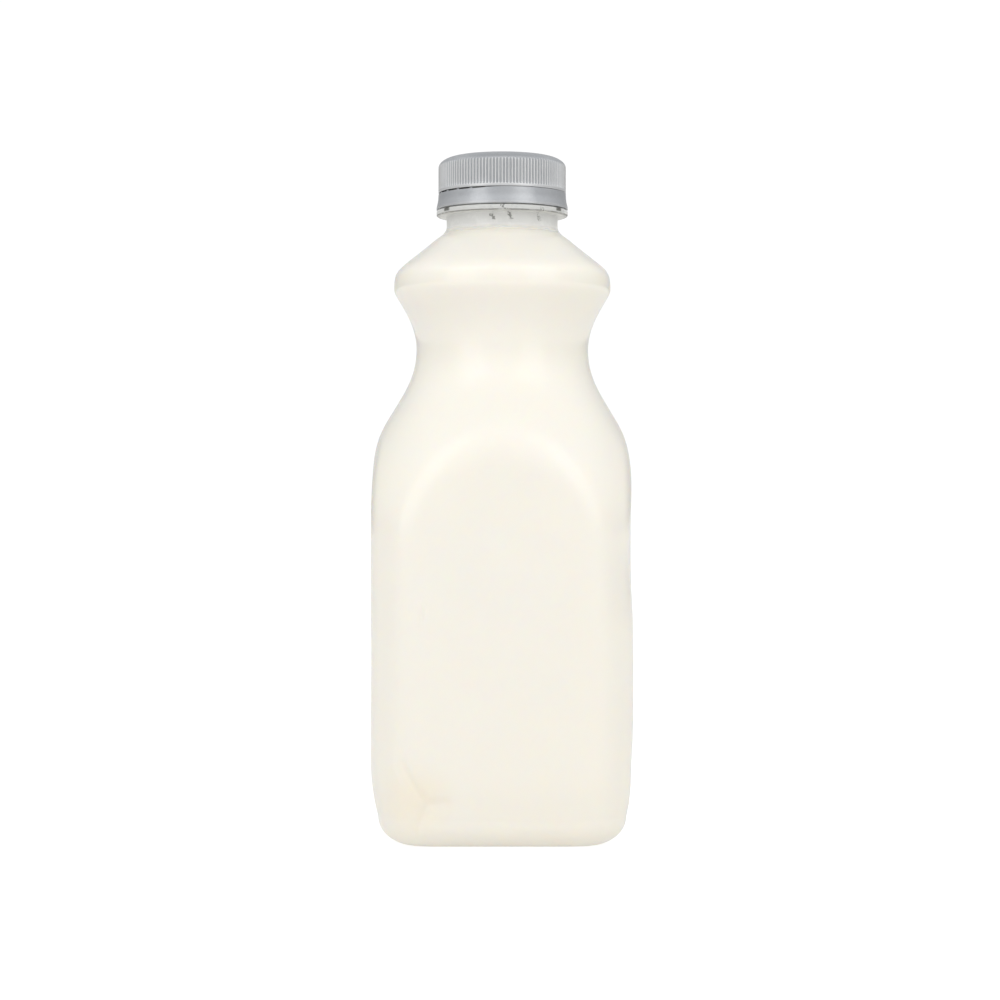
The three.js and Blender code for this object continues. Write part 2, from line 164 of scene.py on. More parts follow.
def round_outline():
    """Radius of the uncut round body against its height: the straight corners, the round-over
    above them, the cone, the waist, the collar, the crease and the root of the neck, as curves."""
    corner = FACE_HALF_WIDTH + CORNER_REACH
    arch = ARCH_HEIGHT / 3
    shoulder = WAIST_Z - BODY_HEIGHT
    cone = 0.48 * shoulder
    rise = COLLAR_Z - WAIST_Z
    fall = CREASE_Z - COLLAR_Z
    root = ROOT_Z - CREASE_Z
    widest = (COLLAR_RADIUS, COLLAR_Z)
    crease = (CREASE_RADIUS, CREASE_Z)
    return np.vstack([
        [(corner, 0)],
        curve((corner, BODY_HEIGHT - ARCH_HEIGHT), (corner, BODY_HEIGHT - 2 * arch),
              (FACE_HALF_WIDTH + SHOULDER_SLOPE * arch, BODY_HEIGHT - arch),
              (FACE_HALF_WIDTH, BODY_HEIGHT)),
        curve((FACE_HALF_WIDTH, BODY_HEIGHT),
              (FACE_HALF_WIDTH - SHOULDER_SLOPE * cone, BODY_HEIGHT + cone),
              (WAIST_RADIUS, WAIST_Z - 0.36 * shoulder), (WAIST_RADIUS, WAIST_Z)),
        curve((WAIST_RADIUS, WAIST_Z), (WAIST_RADIUS, WAIST_Z + 0.5 * rise),
              (COLLAR_RADIUS, COLLAR_Z - 0.12 * rise), widest),
        curve(widest, (COLLAR_RADIUS, COLLAR_Z + 0.45 * fall),
              (CREASE_RADIUS + 0.96 * (COLLAR_RADIUS - CREASE_RADIUS), CREASE_Z - 0.67 * fall),
              crease),
        curve(crease, (CREASE_RADIUS - 0.26 * (CREASE_RADIUS - NECK_RADIUS), CREASE_Z + 0.15 * root),
              (NECK_RADIUS, ROOT_Z - 0.5 * root), (NECK_RADIUS, ROOT_Z)),
    ])


OUTLINE = round_outline()


def crease(across, height, start, end, width):
    """exp(-(d / width)^2), where d is the distance of the point (across, height) from the
    segment start-end."""
    start = np.array(start) * MM
    run = np.array(end) * MM - start
    along = ((across - start[0]) * run[0] + (height - start[1]) * run[1]) / (run @ run)
    along = np.clip(along, 0, 1)
    off = (across - start[0] - along * run[0]) ** 2 + (height - start[1] - along * run[1]) ** 2
    return np.exp(-off / (width * MM) ** 2)


def handling_marks(angle, height):
    """How far the thin wall is pushed in at (angle, height): a long soft dent down the front right
    edge, sharper at its lower end, a short one below it, a three-armed crease and its dish at the
    lower left of the front face, a pinhead dimple, and a slow waviness of the whole wall. Each
    dent is its depth * exp(-(turn / width)^2) * exp(-(height / fall)^2)."""
    turn = np.degrees(angle)
    across = FACE_HALF_WIDTH * np.cos(angle) / np.maximum(np.abs(np.sin(angle)), 0.5)
    dents = 0
    for place, width, middle, below, above, depth in DENTS:
        fall = np.where(height < middle * MM, below, above)
        share = np.exp(-((turn - place) / width) ** 2)
        dents = dents + depth * share * np.exp(-((height / MM - middle) / fall) ** 2)
    front = np.sin(angle) < -0.5
    arms = np.maximum.reduce([
        depth * crease(across, height, PINCH, end, width) for end, width, depth in PINCH_ARMS])
    end, width, depth = PINCH_DISH
    arms = arms + depth * crease(across, height, PINCH, end, width)
    dimple = 0.6 * crease(across, height, (-25.4, 74.6), (-25.2, 73), 0.8)
    waves = 0.05 * (
        2.7 + np.sin(3 * angle + 61 * height + 0.4)
        + np.sin(5 * angle - 97 * height + 2.1)
        + 0.7 * np.sin(8 * angle + 173 * height)
    )
    calm = eased((ROOT_Z - height) / (30 * MM)) * eased(height / (12 * MM))
    return (dents + front * (arms + dimple) + waves * calm) * MM


def wall_radius(angle, height, inset):
    """Distance from the axis to the wall, inset from the outside. The square part is the smaller
    of half-width / |cos angle| and half-width / |sin angle|, the round part comes from the
    outline, and the wall is the smaller of the two, all run together softly. Both shrink in the
    heel as a quarter ellipse and above it as the square of the distance to the taper's top."""
    heel = np.clip((HEEL_HEIGHT - height) / (HEEL_HEIGHT - inset), 0, 1)
    lean = np.clip((TAPER_TOP - np.maximum(height, HEEL_HEIGHT)) / (TAPER_TOP - HEEL_HEIGHT), 0, 1)
    shrink = HEEL_SPREAD * (1 - np.sqrt(1 - heel**2)) + HEEL_TAPER * lean**2 + inset
    half = FACE_HALF_WIDTH - shrink
    square = soft_least(half / np.maximum(np.abs(np.cos(angle)), 1e-6),
                        half / np.maximum(np.abs(np.sin(angle)), 1e-6), EDGE_SOFTNESS)
    body = np.interp(height, OUTLINE[:, 1], OUTLINE[:, 0]) - shrink
    return soft_least(square, body, EDGE_SOFTNESS) - handling_marks(angle, height)


def base_height(radius, foot, inset):
    """Height of the base at a distance from the axis: a dome that is (1-s^2)^1.5 of its height at
    the share s of its radius, with the gate as a small round button in its middle."""
    share = np.clip(radius / PUSH_UP_RADIUS, 0, 1)
    gate = eased((GATE_RADIUS - radius) / (0.6 * GATE_RADIUS)) * GATE_HEIGHT
    return inset + PUSH_UP_HEIGHT * (1 - share**2) ** 1.5 - gate * (inset == 0)


def turned(count, crowded, width=4.5, strength=1.6):
    """Angles once round, closer together near the crowded ones. The spacing goes as 1 over
    1 + strength * exp(-(distance / width)^2), in degrees, summed over the crowded angles."""
    fine = np.linspace(-180, 180, 7201)
    away = np.abs((fine[:, None] - np.array(crowded)[None, :] + 180) % 360 - 180)
    density = 1 + (strength * np.exp(-((away / width) ** 2))).sum(axis=1)
    passed = np.concatenate([[0], np.cumsum((density[1:] + density[:-1]) / 2)])
    share = np.arange(count) / count * passed[-1]
    return np.radians(np.interp(share, passed, fine))


def spun(radius, height, angle):
    """Points of rings: (radius cos angle, radius sin angle, height)."""
    radius, height, angle = np.broadcast_arrays(radius, height, angle)
    return np.stack([radius * np.cos(angle), radius * np.sin(angle), height], axis=-1)


def thread_reach(angle, height, first_angle, sweep, first_z, radius, sunk, side):
    """Distance of a thread's surface from the axis: a round section of THREAD_SECTION carried up a
    helix, centre radius + side * sqrt(section^2 - (height - centre height)^2). The centre sinks
    from radius to sunk in the run-outs. Off the thread it is sunk itself."""
    reach = np.full(np.broadcast(angle, height).shape, sunk)
    for start in range(THREAD_STARTS):
        turn = (np.degrees(angle) - first_angle - 360 * start / THREAD_STARTS) % 360
        centre = sunk + (radius - sunk) * eased(np.minimum(turn, sweep - turn) / THREAD_RUN_OUT)
        off = (height - first_z - THREAD_LEAD * turn / 360) / THREAD_SECTION
        on = (np.abs(off) < 1) & (turn < sweep)
        surface = centre + side * THREAD_SECTION * np.sqrt(np.maximum(1 - off**2, 0))
        reach = np.where(on, side * np.maximum(side * reach, side * surface), reach)
    return reach


def piece_mesh(name, grids, ring_shaped=False):
    """One mesh from grids of rings x columns x 3. Neighbouring rings and columns are joined by
    four-sided faces. A ring-shaped grid also joins its last ring to its first; any other is closed
    at both ends by a fan to a pole in the middle of its end ring."""
    points, faces, count = [], [], 0
    for rings in grids:
        rows, columns = rings.shape[:2]
        here = count + np.arange(rows * columns).reshape(rows, columns)
        beside = np.roll(here, -1, axis=1)
        lower = here if ring_shaped else here[:-1]
        upper = np.roll(here, -1, axis=0) if ring_shaped else here[1:]
        lower_beside = beside if ring_shaped else beside[:-1]
        upper_beside = np.roll(beside, -1, axis=0) if ring_shaped else beside[1:]
        quads = np.stack([lower, lower_beside, upper_beside, upper], axis=-1).reshape(-1, 4)
        points.append(rings.reshape(-1, 3))
        faces.append(quads)
        count += rows * columns
        if not ring_shaped:
            points.append(rings[[0, -1]].mean(axis=1))
            first = np.stack([np.full(columns, count), beside[0], here[0]], axis=-1)
            last = np.stack([np.full(columns, count + 1), here[-1], beside[-1]], axis=-1)
            faces += [first, last]
            count += 2
    mesh = bpy.data.meshes.new(name)
    points = np.vstack(points)
    corners = np.concatenate([face.ravel() for face in faces])
    sizes = np.concatenate([np.full(len(face), face.shape[1]) for face in faces])
    mesh.vertices.add(len(points))
    mesh.vertices.foreach_set("co", points.ravel().astype(np.float32))
    mesh.loops.add(len(corners))
    mesh.loops.foreach_set("vertex_index", corners.astype(np.int32))
    mesh.polygons.add(len(sizes))
    mesh.polygons.foreach_set("loop_start", (np.cumsum(sizes) - sizes).astype(np.int32))
    mesh.polygons.foreach_set("use_smooth", np.ones(len(sizes), bool))
    mesh.update(calc_edges=True)
    mesh.validate()
    piece = bpy.data.objects.new(name, mesh)
    bpy.context.scene.collection.objects.link(piece)
    return piece


def settle(piece, material, body, node):
    """Gives a finished piece its material, and its place on its body of the frame."""
    piece.data.materials.append(material)
    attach(piece, body)
    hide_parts(node)


class Wire:
    """A shader socket. The signs + - * ** between it and a number or another add Math nodes, and
    so does abs()."""

    def __init__(self, finish, socket):
        self.finish = finish
        self.socket = socket

    def maths(self, operation, *values):
        return self.finish.node("Math", {"operation": operation}, dict(enumerate(values)))

    def __add__(self, other):
        return self.maths("ADD", self, other)

    def __radd__(self, other):
        return self.maths("ADD", other, self)

    def __sub__(self, other):
        return self.maths("SUBTRACT", self, other)

    def __rsub__(self, other):
        return self.maths("SUBTRACT", other, self)

    def __mul__(self, other):
        return self.maths("MULTIPLY", self, other)

    def __rmul__(self, other):
        return self.maths("MULTIPLY", other, self)

    def __pow__(self, other):
        return self.maths("POWER", self, other)

    def __abs__(self):
        return self.maths("ABSOLUTE", self)


class Finish:
    """A material, or the world, and its nodes. Every node comes from node(), colours are mixed by
    tint()."""

    def __init__(self, name, owner=None):
        self.owner = owner or bpy.data.materials.new(name)
        self.owner.use_nodes = True
        self.tree = self.owner.node_tree
        self.tree.nodes.clear()

    def node(self, kind, settings=(), sockets=(), output=0):
        node = self.tree.nodes.new("ShaderNode" + kind)
        for name, value in dict(settings).items():
            if name == "stops":
                for stop, (place, shade) in zip(node.color_ramp.elements, value):
                    stop.position = place
                    stop.color = (shade, shade, shade, 1)
            else:
                setattr(node, name, value)
        for name, value in dict(sockets).items():
            if isinstance(value, Wire):
                self.tree.links.new(value.socket, node.inputs[name])
            else:
                node.inputs[name].default_value = value
        return Wire(self, node.outputs[output]) if node.outputs else None

    def place(self):
        return self.node("TexCoord", output="Object")

    def noise(self, scale, detail=2, roughness=0.5, place=None):
        sockets = {"Scale": scale, "Detail": detail, "Roughness": roughness}
        return self.node("TexNoise", (), {"Vector": place or self.place(), **sockets})

    def ramp(self, value, start, end):
        """0 at start and before it, 1 at end and past it, straight between. Start may be the
        larger of the two."""
        sockets = {"Value": value, "From Min": start, "From Max": end}
        return self.node("MapRange", {"clamp": True}, sockets)

    def part(self, axis):
        """One coordinate of the point, in metres."""
        return self.node("SeparateXYZ", (), {0: self.place()}, axis)

    def tint(self, share, first, second, way="MIX"):
        settings = {"data_type": "RGBA", "blend_type": way, "clamp_factor": True}
        return self.node("Mix", settings, {0: share, 6: first, 7: second}, 2)

    def bump(self, height, distance, strength=1.0):
        sockets = {"Height": height, "Distance": distance, "Strength": strength}
        return self.node("Bump", (), sockets)

    def plastic(self, **sockets):
        return self.node("BsdfPrincipled", (), {k.replace("_", " "): v for k, v in sockets.items()})

    def path_is(self, *kinds):
        """1 for light rays of the given kinds, such as Shadow or Camera, 0 for the rest."""
        paths = self.tree.nodes.new("ShaderNodeLightPath")
        return sum(Wire(self, paths.outputs[f"Is {kind} Ray"]) for kind in kinds)

    def done(self, shader, kind="Material"):
        self.node("Output" + kind, (), {"Surface": shader})
        return self.owner


def bottle_rows():
    """Heights of the rings of the body's outside, from the edge of the base up to the neck,
    closest together over the creased foot and the arches of the flat faces."""
    heel = HEEL_HEIGHT * (1 - np.cos(np.linspace(0, np.pi / 2, 17)))
    return np.concatenate([
        heel,
        np.linspace(HEEL_HEIGHT, 30 * MM, 29)[1:],
        np.linspace(30 * MM, 96 * MM, 32)[1:],
        np.linspace(96 * MM, 130 * MM, 30)[1:],
        np.linspace(130 * MM, WAIST_Z, 17)[1:],
        np.linspace(WAIST_Z, COLLAR_Z, 16)[1:],
        np.linspace(COLLAR_Z, CREASE_Z, 17)[1:],
        np.linspace(CREASE_Z, ROOT_Z, 8)[1:-1],
    ])


def finish_outline():
    """(radius, height) of the neck finish: the straight neck, the support ring, the bead, the
    closely ruled wall under the thread, the rim and the bore down to the neck's inside."""
    edge = 0.55 * MM
    ring = softened(
        [(NECK_RADIUS, ROOT_Z), (NECK_RADIUS, RING_Z), (RING_RADIUS, RING_Z),
         (RING_RADIUS, RING_TOP), (FINISH_RADIUS, RING_TOP), (FINISH_RADIUS, BEAD_Z),
         (BEAD_RADIUS, BEAD_Z), (BEAD_RADIUS, BEAD_Z + edge), (FINISH_RADIUS, BEAD_TOP),
         (FINISH_RADIUS, BEAD_TOP + 0.5 * MM)],
        np.array([0.5, 0.7, 0.55, 0.4, 0.25, 0.22, 0.25, 0.3]) * MM, 3)
    wall_z = np.linspace(BEAD_TOP + 0.6 * MM, RIM_Z - 0.8 * MM, 48)
    wall = np.stack([np.full_like(wall_z, FINISH_RADIUS), wall_z], axis=1)
    rim = softened(
        [(FINISH_RADIUS, RIM_Z - 0.7 * MM), (FINISH_RADIUS, RIM_Z), (BORE_RADIUS, RIM_Z),
         (BORE_RADIUS, RING_TOP), (NECK_RADIUS - NECK_WALL, RING_Z),
         (NECK_RADIUS - NECK_WALL, ROOT_Z)],
        np.array([0.6, 0.5, 0.8, 0.8]) * MM, 3)
    return np.vstack([ring, wall, rim])


def wall_thickness(height):
    """The body's thin wall, easing to the neck's between the two heights of the swell."""
    low, high = WALL_SWELL
    return BODY_WALL + (NECK_WALL - BODY_WALL) * eased((height - low) / (high - low))


def mould_marks(angle, height, radius):
    """Small flash left by the mould on the neck and ring: narrow ridges and nicks, each
    exp(-(turn / width)^2) high, on the outside between the root and the top of the ring."""
    turn = np.degrees(angle)[None, :]
    on_ring = eased((height - RING_Z + 2.6 * MM) / (1 * MM)) * (height < RING_TOP - 0.2 * MM)
    ridges = sum(size * np.exp(-(((turn - place) / width) ** 2)) for place, width, size in FLASH)
    return ridges * (on_ring * (radius > NECK_RADIUS - 0.1 * MM))[:, None] * MM


def clear_bottle():
    """Rings from the middle of the base out, up the outside and the neck, over the rim, and down
    the inside to the middle of its floor, closed at both ends."""
    angle = turned(BOTTLE_COLUMNS, CORNER_EDGES + PINCH_EDGES + [-81, -100])
    heights = bottle_rows()
    foot = wall_radius(angle, np.array([[0.0]]), 0.0)
    shares = np.linspace(0, 1, 16)[1:-1, None]
    base = shares * foot
    outside_base = spun(base, base_height(base, foot, 0.0), angle)
    outside = spun(wall_radius(angle, heights[:, None], 0.0), heights[:, None], angle)

    line = finish_outline()
    radius, height = line[:, :1], line[:, 1:]
    threaded = (height > BEAD_TOP + 0.4 * MM) & (height < RIM_Z - 0.6 * MM)
    threaded = threaded & (radius > FINISH_RADIUS - 0.1 * MM)
    thread = thread_reach(angle, height, 0, THREAD_SWEEP,
                          THREAD_TOP - THREAD_LEAD * THREAD_SWEEP / 360,
                          THREAD_CREST - THREAD_SECTION, FINISH_RADIUS - THREAD_SECTION - 0.2 * MM, 1)
    reach = np.where(threaded, np.maximum(radius, thread), radius)
    reach = reach + mould_marks(angle, line[:, 1], line[:, 0])
    neck = spun(reach, height, angle)

    down = np.concatenate([
        np.linspace(ROOT_Z, WAIST_Z, 22)[1:], np.linspace(WAIST_Z, 96 * MM, 18)[1:],
        np.linspace(96 * MM, 24 * MM, 9)[1:], np.linspace(24 * MM, HEEL_HEIGHT, 4)[1:],
        HEEL_HEIGHT * (1 - np.sin(np.linspace(0, np.pi / 2, 10)[1:-1])) + BODY_WALL,
    ])[:, None]
    inside = spun(wall_radius(angle, down, wall_thickness(down)), down, angle)
    floor = wall_radius(angle, np.array([[BODY_WALL]]), BODY_WALL) * np.linspace(1, 0, 9)[:-1, None]
    inside_base = spun(floor, base_height(floor, foot, BODY_WALL), angle)
    return piece_mesh("clear_bottle", [np.vstack([outside_base, outside, neck, inside, inside_base])])


def clear_plastic():
    """Clear plastic with a slow waviness from blowing, a fine orange peel and faint smears where
    hands have held it. The thick neck is cloudy and its inside keeps a film of milk. Mould flash
    leaves dark marks on it. Shade is painted as a dark line round the lower edge of the ring,
    where its underside is in shadow, and as two painted shadow spots on the ring's side under the
    band's flared foot. Lamps and scattered light pass, so that the milk behind is lit."""
    finish = Finish("clear_plastic")
    flow = finish.noise(30, 2)
    peel = finish.noise(420, 2)
    smear = finish.noise(70, 5, 0.65)
    runs = finish.noise(160, 4, 0.6)
    across, along, height = finish.part(0), finish.part(1), finish.part(2)
    reach = (across * across + along * along) ** 0.5
    neck = finish.ramp(height, CLOUDY_FROM, CLOUDY_TO)
    shell = finish.plastic(
        Base_Color=finish.tint(smear, (0.985, 0.99, 0.99, 1), (0.96, 0.97, 0.97, 1)),
        Roughness=0.215 - 0.175 * neck + 0.045 * finish.ramp(smear, 0.45, 0.8),
        Transmission_Weight=1.0,
        IOR=1.56,
        Normal=finish.bump(flow + peel * 0.05, 0.0012, 0.4),
    )
    open_way = finish.node("BsdfTransparent", (), {"Color": (0.97, 0.975, 0.975, 1)})
    passing = finish.path_is("Shadow", "Diffuse")
    clear = finish.node("MixShader", (), {0: passing, 1: shell, 2: open_way})
    turn = finish.node("Math", {"operation": "ARCTAN2"}, {0: along, 1: across}) * (180 / np.pi)
    leaning = turn + (finish.noise(900, 2) - 0.5) * MARK_WANDER + (height - MARK_Z) * (MARK_LEAN / MM)
    marks = sum(
        finish.ramp(abs(leaning - place), width, width - 0.7)
        * finish.ramp(height, low * MM, (low + 0.4) * MM)
        * finish.ramp(height, high * MM, (high - 0.3) * MM)
        for place, width, low, high in DARK_MARKS
    )
    marks = marks * finish.ramp(reach, NECK_RADIUS - 0.6 * MM, NECK_RADIUS - 0.2 * MM)
    on_rim = finish.ramp(reach, RING_RADIUS - 1.4 * MM, RING_RADIUS - 1 * MM)
    # Painted shadow: two dark spots on the upper side of the ring, under the band's flared foot.
    shadow_spots = sum(finish.ramp(abs(turn - place), SHADOW_BLOT_WIDTH, SHADOW_BLOT_WIDTH - 2) for place in SHADOW_BLOTS)
    shadow_spots = shadow_spots * on_rim * finish.ramp(height, RING_Z + 0.55 * MM, RING_Z + 0.85 * MM)
    # Painted shade: a dark line round the ring's lower edge, where its underside is in shadow, broken
    # up by noise; the haze thins along it too.
    ring_edge_shade = finish.ramp(abs(height - RING_Z - 0.2 * MM), SHADE_LINE_HALF_HEIGHT, SHADE_LINE_HALF_HEIGHT - 0.16 * MM)
    ring_edge_shade = ring_edge_shade * on_rim * finish.ramp(runs, 0.30, 0.48)
    film = finish.ramp(reach, NECK_RADIUS - 0.7 * MM, NECK_RADIUS - 1.3 * MM) * 0.2
    cloud = neck * (0.66 + film + 0.2 * finish.ramp(runs, 0.5, 0.8)) * (1 - 0.5 * ring_edge_shade)
    white = finish.node("BsdfDiffuse", (), {"Color": (0.92, 0.92, 0.90, 1)})
    milky = finish.node("BsdfTranslucent", (), {"Color": (0.95, 0.95, 0.92, 1)})
    haze = finish.node("MixShader", (), {0: 0.2, 1: white, 2: milky})
    hazy = finish.node("MixShader", (), {0: cloud, 1: clear, 2: haze})
    dark = finish.node("BsdfDiffuse", (), {"Color": (0.10, 0.10, 0.09, 1)})
    # The dark diffuse covers the mould-flash marks, the painted shade line and the painted shadow
    # spots.
    marks_and_painted_shade = finish.ramp(marks * 0.7 + shadow_spots * 0.9 + ring_edge_shade * 0.42, 0.0, 1.0)
    return finish.done(finish.node("MixShader", (), {0: marks_and_painted_shade, 1: hazy, 2: dark}))


bottle = clear_bottle()
settle(bottle, clear_plastic(), "bottle", "bottle")


# ---------------------------------------------------------------- Milk
# Whole milk, standing in the bottle up to the foot of the clear neck. It wets the wall all over,
# so it fills the bottle to the plastic, and climbs a little where its surface meets the neck.

MILK_CONTACT = 0.3 * MM  # how far the milk reaches into the inner wall, so that no gap shows
MILK_LEVEL = 197.5 * MM
MENISCUS = 0.9 * MM
MILK_COLUMNS = 248


def milk_body():
    """Rings of the milk's underside, its side and its surface. The surface sinks from the wall
    inwards by MENISCUS * (1 - exp(-distance from the wall / 0.9 mm))."""
    angle = turned(MILK_COLUMNS, CORNER_EDGES + PINCH_EDGES)
    gap = BODY_WALL - MILK_CONTACT
    heights = bottle_rows()
    heights = np.append(heights[(heights > 0.4 * MM) & (heights < MILK_LEVEL)], MILK_LEVEL)[:, None]
    wall = wall_radius(angle, heights, wall_thickness(heights) - MILK_CONTACT)
    lowest = wall_radius(angle, np.array([[gap]]), gap)
    base = lowest * np.linspace(0, 1, 15)[1:, None]
    under = spun(base, base_height(base, lowest, gap), angle)
    around = spun(wall, heights, angle)
    near_wall = [0.995, 0.985, 0.97, 0.95, 0.92, 0.88]
    shares = np.concatenate([near_wall, np.linspace(0.8, 0.05, 12)])[:, None]
    top_radius = wall[-1:] * shares
    off_wall = wall[-1:] - top_radius
    swirl = 0.04 * MM * np.sin(3 * angle + 300 * top_radius) * shares
    top = spun(top_radius, MILK_LEVEL - MENISCUS * (1 - np.exp(-off_wall / (0.9 * MM))) + swirl, angle)
    return piece_mesh("milk_fill", [np.vstack([under, around, top])])


def whole_milk():
    """Opaque cream-white liquid: light soaks a few millimetres in, warmest where it soaks
    deepest, with slow clouds of richer cream. Shade is painted into its colour: darker and warmer
    low down, and behind the crease."""
    finish = Finish("whole_milk")
    clouds = finish.noise(16, 4, 0.55)
    fine = finish.noise(90, 3, 0.5)
    height = finish.part(2)
    low = 1 - finish.ramp(height, 0.0, 0.13)
    richer = finish.ramp(clouds, 0.35, 0.65)
    colour = finish.tint(richer, (0.915, 0.866, 0.790, 1), (0.930, 0.870, 0.775, 1))
    # Painted shade: the milk's colour is darker and warmer low down.
    colour = finish.tint(0.6 * low, colour, (0.890, 0.845, 0.760, 1))
    colour = finish.tint(finish.ramp(fine, 0.55, 0.8) * 0.12, colour, (0.94, 0.90, 0.83, 1))
    # Painted shade: a warmer, darker patch in the milk behind the crease on the front face.
    off = ((finish.part(0) + 0.027) ** 2 + (height - 0.016) ** 2) ** 0.5
    crease_shade = finish.ramp(off, 0.014, 0.003) * finish.ramp(finish.part(1), -0.03, -0.036)
    colour = finish.tint(0.42 * crease_shade, colour, (0.90, 0.79, 0.62, 1))
    milk = finish.plastic(
        Base_Color=colour,
        Roughness=0.3 + 0.1 * clouds,
        Subsurface_Weight=0.7,
        Subsurface_Radius=(1.0, 0.82, 0.55),
        Subsurface_Scale=0.004,
        Specular_IOR_Level=0.03,
        Normal=finish.bump(fine, 0.0003, 0.2),
    )
    return finish.done(milk)


milk = milk_body()
settle(milk, whole_milk(), "bottle", "milk")


# ---------------------------------------------------------------- Screw cap
# A silver plastic screw cap, injection moulded: 120 fine grip ribs between a plain lip and a round
# crown, and a three-start thread inside. It turns down over the bottle's thread.

CAP_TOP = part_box("screw_cap")[1].z
CAP_RADIUS = 20.75 * MM
VALLEY_RADIUS = 20.25 * MM
CAP_BORE = 19.35 * MM
SKIRT_Z = 208.8 * MM
RIB_Z = 209.55 * MM
CROWN_ACROSS = 6.3 * MM  # the crown's round edge is a quarter ellipse, wider than it is high
CROWN_HEIGHT = 3.6 * MM
CEILING_Z = 218.7 * MM
RIB_COUNT = 120
COLUMNS_PER_RIB = 6
RIB_FADE = 0.6 * MM
CAP_THREAD_RADIUS = 19.1 * MM  # centre line of the thread inside the cap
CAP_THREAD_START = 7  # degrees
THREAD_OFFSET = 1.43 * MM  # the cap's thread rides this far below the bottle's


def cap_outline():
    """(radius, height) from the middle of the ceiling down the bore, round the lip, up the ribs
    and over the crown to the middle of the top, which is very slightly domed."""
    lip = softened(
        [(0.4 * MM, CEILING_Z), (CAP_BORE, CEILING_Z), (CAP_BORE, SKIRT_Z + 0.1 * MM)], 0.4 * MM, 3)
    bore_z = np.linspace(CEILING_Z - 0.6 * MM, SKIRT_Z + 1 * MM, 40)
    bore = np.stack([np.full_like(bore_z, CAP_BORE), bore_z], axis=1)
    skirt = softened(
        [(CAP_BORE, SKIRT_Z + 0.6 * MM), (CAP_BORE, SKIRT_Z), (CAP_RADIUS, SKIRT_Z),
         (CAP_RADIUS, RIB_Z)], [0.15 * MM, 0.2 * MM], 3)
    rib_z = np.concatenate([np.linspace(RIB_Z, RIB_Z + RIB_FADE, 5)[1:],
                            np.linspace(RIB_Z + RIB_FADE, CAP_TOP - CROWN_HEIGHT, 6)[1:]])
    ribs = np.stack([np.full_like(rib_z, CAP_RADIUS), rib_z], axis=1)
    lean = np.concatenate([np.linspace(0, 0.16, 12)[1:], np.linspace(0.16, 0.5, 12)[1:]]) * np.pi
    crown = np.stack([CAP_RADIUS - CROWN_ACROSS + CROWN_ACROSS * np.cos(lean),
                      CAP_TOP - CROWN_HEIGHT + CROWN_HEIGHT * np.sin(lean)], axis=1)
    crown[:, 1] -= 0.05 * MM * eased(np.linspace(0, 1, len(crown)))
    flat = np.linspace(CAP_RADIUS - CROWN_ACROSS, 0.5 * MM, 12)[1:]
    dome = CAP_TOP - 0.05 * MM * (flat / (CAP_RADIUS - CROWN_ACROSS)) ** 2
    top = np.stack([flat, dome], axis=1)
    return np.vstack([lip[:5], bore, skirt, ribs, crown, top])


def ribbed_cap():
    """The outline carried round. Between ribs the wall is held in to a groove whose depth goes as
    (0.5 - 0.5 cos(120 angle))^0.7, until the crown runs in under it."""
    angle = np.linspace(0, 2 * np.pi, RIB_COUNT * COLUMNS_PER_RIB, endpoint=False)
    line = cap_outline()
    radius, height = line[:, :1], line[:, 1:]
    in_bore = (np.abs(radius - CAP_BORE) < 0.01 * MM) & (height > SKIRT_Z + 0.9 * MM)
    first_z = THREAD_TOP - THREAD_LEAD * (THREAD_SWEEP - CAP_THREAD_START) / 360 - THREAD_OFFSET
    thread = thread_reach(angle, height, CAP_THREAD_START, THREAD_SWEEP - 2 * CAP_THREAD_START,
                          first_z, CAP_THREAD_RADIUS, CAP_BORE + THREAD_SECTION + 0.17 * MM, -1)
    reach = np.where(in_bore, np.minimum(radius, thread), radius)
    ribbed = (height >= RIB_Z) & (radius > CAP_BORE + 0.5 * MM)
    valley = (0.5 - 0.5 * np.cos(RIB_COUNT * angle)) ** 0.7 * eased((height - RIB_Z) / RIB_FADE)
    groove = CAP_RADIUS - valley * (CAP_RADIUS - VALLEY_RADIUS)
    reach = np.where(ribbed, np.minimum(reach, groove), reach)
    return piece_mesh("ribbed_cap", [spun(reach, height, angle)])


def silver_plastic(name, rough, crest_low, crest_high, crest_from):
    """Plastic coloured with fine metal flake: grey with a metal sheen, speckled flake by flake,
    slow clouds where it flowed into the mould, rubbed paler on what stands out furthest, most of
    all above the height crest_from."""
    finish = Finish(name)
    place = finish.place()
    flake = finish.noise(5200, 1, 0.5, place)
    clouds = finish.noise(120, 4, 0.6, place)
    scuffs = finish.noise(700, 6, 0.7, place)
    across, along = finish.part(0), finish.part(1)
    reach = (across * across + along * along) ** 0.5
    crest = finish.ramp(reach, crest_low, crest_high)
    crest = crest * (0.45 + 0.55 * finish.ramp(finish.part(2), crest_from, crest_from + 0.0005))
    flowed = finish.ramp(clouds, 0.35, 0.65)
    colour = finish.tint(flowed, (0.36, 0.37, 0.385, 1), (0.41, 0.418, 0.43, 1))
    colour = finish.tint(0.28 * finish.ramp(flake, 0.5, 0.75), colour, (0.74, 0.75, 0.77, 1))
    colour = finish.tint(0.95 * crest, colour, (0.79, 0.785, 0.77, 1))
    colour = finish.tint(0.25 * finish.ramp(scuffs, 0.58, 0.75), colour, (0.38, 0.385, 0.40, 1))
    relief = flake * 0.25 + scuffs * 0.5 + clouds * 2
    shell = finish.plastic(
        Base_Color=colour,
        Metallic=0.38 + 0.15 * clouds,
        Roughness=rough + 0.14 * scuffs - 0.06 * crest,
        Coat_Weight=0.15,
        Coat_Roughness=0.25,
        Normal=finish.bump(relief, 0.00008, 0.6),
    )
    return finish.done(shell)


cap = ribbed_cap()
cap_silver = silver_plastic("satin_silver", 0.30, 0.02046, 0.02075, RIB_Z)
settle(cap, cap_silver, "cap", "screw_cap")


